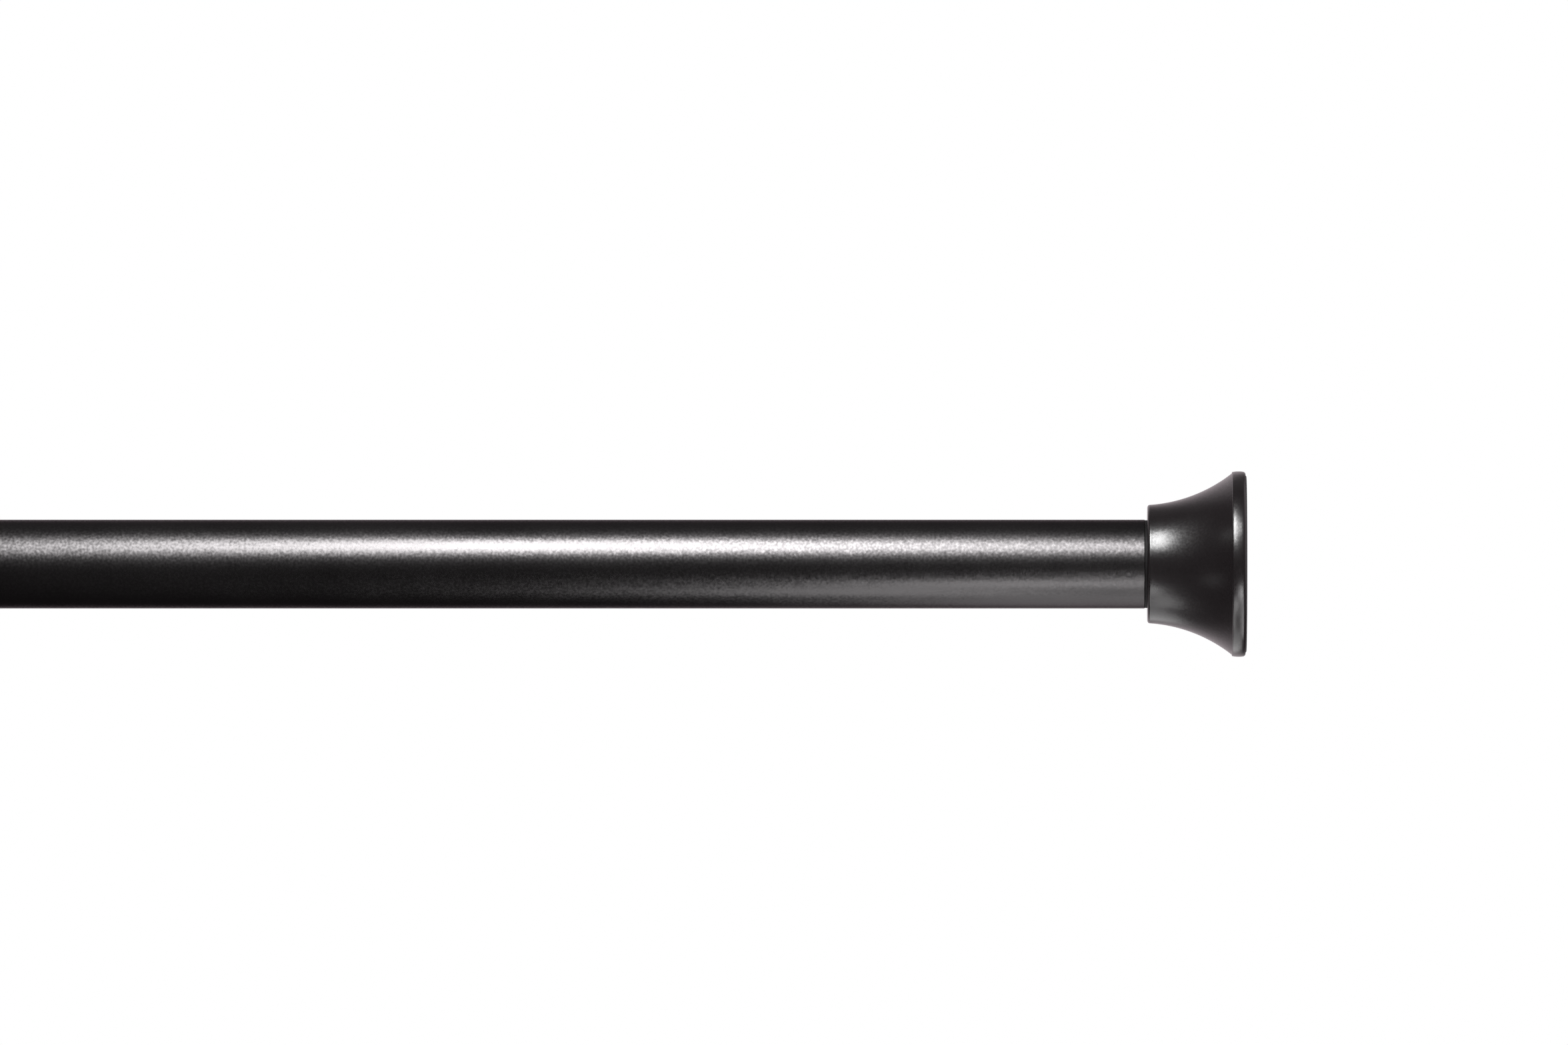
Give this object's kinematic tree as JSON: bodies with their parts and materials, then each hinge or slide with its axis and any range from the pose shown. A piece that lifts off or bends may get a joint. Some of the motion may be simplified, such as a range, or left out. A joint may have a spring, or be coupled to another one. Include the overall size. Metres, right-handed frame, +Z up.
{
  "type": "tension curtain rod",
  "caption": "Round telescoping spring tension curtain rod with flared trumpet end caps, rubber wall pads and a twist lock inside.",
  "frame": {"origin": "centre of the outer tube's wall pad, on its wall face", "axes": "+X along the rod, out of the outer tube's end into its wall; +Z up"},
  "size_m": [0.6285, 0.0396, 0.0396],
  "materials": {
    "satin_black_tube": "satin",
    "satin_black_cap": "satin",
    "black_nylon": "matte",
    "black_rubber": "matte",
    "white_nylon": "matte",
    "grey_acetal": "satin",
    "zinc_steel": "satin",
    "spring_steel": "satin"
  },
  "bodies": {
    "outer": {"outer_tube": "satin_black_tube", "mouth_collar": "black_nylon", "outer_end_cap": "satin_black_cap", "outer_cap_plug": "black_nylon", "outer_cap_screw": "zinc_steel", "outer_wall_pad": "black_rubber"},
    "expander": {"lock_expander": "white_nylon", "thrust_washer": "zinc_steel"},
    "cone": {"lock_cone": "grey_acetal"},
    "spindle": {"lock_spindle": "zinc_steel", "retaining_clips": "spring_steel", "stop_washer": "zinc_steel", "tension_spring": "spring_steel"},
    "inner": {"inner_tube": "satin_black_tube", "inner_end_cap": "satin_black_cap", "inner_cap_plug": "black_nylon", "inner_cap_screw": "zinc_steel", "inner_wall_pad": "black_rubber", "guide_bush": "white_nylon"}
  },
  "joints": [
    {"name": "tube_slide", "type": "slide", "parent": "outer", "child": "expander", "axis": [-1, 0, 0], "range_m": [0, 0.285]},
    {"name": "lock_twist", "type": "hinge", "parent": "expander", "child": "spindle", "pos_m": [-0.07345, 0, 0], "axis": [1, 0, 0], "range_deg": [0, 720]},
    {"name": "cone_travel", "type": "slide", "parent": "expander", "child": "cone", "axis": [-1, 0, 0], "range_m": [0, 0.00161]},
    {"name": "spring_travel", "type": "slide", "parent": "spindle", "child": "inner", "axis": [1, 0, 0], "range_m": [0, 0.02], "stiffness_N_per_m": 3040, "springref_m": -0.005, "deforming": ["tension_spring"]}
  ],
  "couplings": [
    {"joint": "cone_travel", "follows": "lock_twist", "m_per_rad": 0.00012732}
  ]
}
